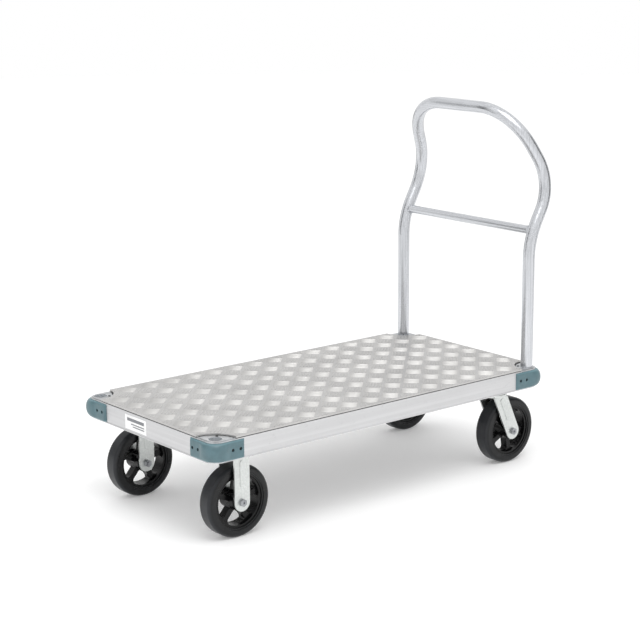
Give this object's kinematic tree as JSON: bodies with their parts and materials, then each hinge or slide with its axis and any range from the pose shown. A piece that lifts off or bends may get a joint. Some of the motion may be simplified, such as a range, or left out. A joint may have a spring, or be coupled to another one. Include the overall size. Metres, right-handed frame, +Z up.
{
  "type": "platform cart",
  "caption": "Flat tread-plate platform on channel rails with bumpered corners, rigid front and swivel rear casters, and a bent tubular push handle with a crossbar.",
  "frame": {"origin": "on the floor, under the middle of the whole cart's box", "axes": "+X along the deck towards the handle, +Y to the right of a person pushing, who faces -X, and +Z up"},
  "size_m": [1.284, 0.623, 1.089],
  "materials": {
    "tread_plate": "mill-finish tread plate",
    "frame_channel": "satin extruded",
    "cast_corner": "as cast, lightly polished",
    "handle_tube": "satin drawn tube",
    "bumper_plastic": "moulded, matte blue-green",
    "zinc_steel": "bright zinc plate",
    "plain_steel": "turned and plated steel",
    "screw_steel": "dark plated",
    "tyre_rubber": "moulded solid rubber",
    "wheel_iron": "black painted casting",
    "label_film": "blank white film"
  },
  "bodies": {
    "frame": {"deck_plate": "tread_plate", "side_rail_left": "frame_channel", "side_rail_right": "frame_channel", "end_rail_front": "frame_channel", "end_rail_rear": "frame_channel", "cross_member_front": "frame_channel", "cross_member_middle": "frame_channel", "cross_member_rear": "frame_channel", "caster_bolster_front": "frame_channel", "caster_bolster_rear": "frame_channel", "corner_front_left": "cast_corner", "corner_front_right": "cast_corner", "corner_rear_left": "cast_corner", "corner_rear_right": "cast_corner", "bumper_front_left": "bumper_plastic", "bumper_front_right": "bumper_plastic", "bumper_rear_left": "bumper_plastic", "bumper_rear_right": "bumper_plastic", "bumper_screws": "screw_steel", "corner_screws": "screw_steel", "label_plate": "label_film", "caster_bolts": "plain_steel", "caster_nuts": "plain_steel", "rigid_fork_left": "zinc_steel", "rigid_fork_right": "zinc_steel", "rigid_axle_bolts": "plain_steel", "rigid_axle_nuts": "plain_steel", "rigid_bushings": "plain_steel", "swivel_plate_left": "zinc_steel", "swivel_plate_right": "zinc_steel", "kingpin_left": "plain_steel", "kingpin_right": "plain_steel"},
    "handle": {"handle_tube": "handle_tube", "handle_crossbar": "handle_tube"},
    "swivel_left": {"swivel_fork_left": "zinc_steel", "swivel_balls_left": "plain_steel", "swivel_axle_bolt_left": "plain_steel", "swivel_axle_nut_left": "plain_steel", "swivel_bushing_left": "plain_steel"},
    "swivel_right": {"swivel_fork_right": "zinc_steel", "swivel_balls_right": "plain_steel", "swivel_axle_bolt_right": "plain_steel", "swivel_axle_nut_right": "plain_steel", "swivel_bushing_right": "plain_steel"},
    "wheel_front_left": {"tyre_front_left": "tyre_rubber", "wheel_core_front_left": "wheel_iron", "wheel_bearing_front_left": "plain_steel"},
    "wheel_front_right": {"tyre_front_right": "tyre_rubber", "wheel_core_front_right": "wheel_iron", "wheel_bearing_front_right": "plain_steel"},
    "wheel_rear_left": {"tyre_rear_left": "tyre_rubber", "wheel_core_rear_left": "wheel_iron", "wheel_bearing_rear_left": "plain_steel"},
    "wheel_rear_right": {"tyre_rear_right": "tyre_rubber", "wheel_core_rear_right": "wheel_iron", "wheel_bearing_rear_right": "plain_steel"}
  },
  "joints": [
    {"name": "handle_lift", "type": "slide", "parent": "frame", "child": "handle", "axis": [0, 0, 1], "range_m": [0, 0.12]},
    {"name": "swivel_turn_left", "type": "hinge", "parent": "frame", "child": "swivel_left", "pos_m": [0.46148, -0.228, 0.226], "axis": [0, 0, 1], "continuous": true},
    {"name": "swivel_turn_right", "type": "hinge", "parent": "frame", "child": "swivel_right", "pos_m": [0.46148, 0.228, 0.226], "axis": [0, 0, 1], "continuous": true},
    {"name": "roll_front_left", "type": "hinge", "parent": "frame", "child": "wheel_front_left", "pos_m": [-0.51352, -0.228, 0.1015], "axis": [0, 1, 0], "continuous": true},
    {"name": "roll_front_right", "type": "hinge", "parent": "frame", "child": "wheel_front_right", "pos_m": [-0.51352, 0.228, 0.1015], "axis": [0, 1, 0], "continuous": true},
    {"name": "roll_rear_left", "type": "hinge", "parent": "swivel_left", "child": "wheel_rear_left", "pos_m": [0.51548, -0.228, 0.1015], "axis": [0, 1, 0], "continuous": true},
    {"name": "roll_rear_right", "type": "hinge", "parent": "swivel_right", "child": "wheel_rear_right", "pos_m": [0.51548, 0.228, 0.1015], "axis": [0, 1, 0], "continuous": true}
  ]
}
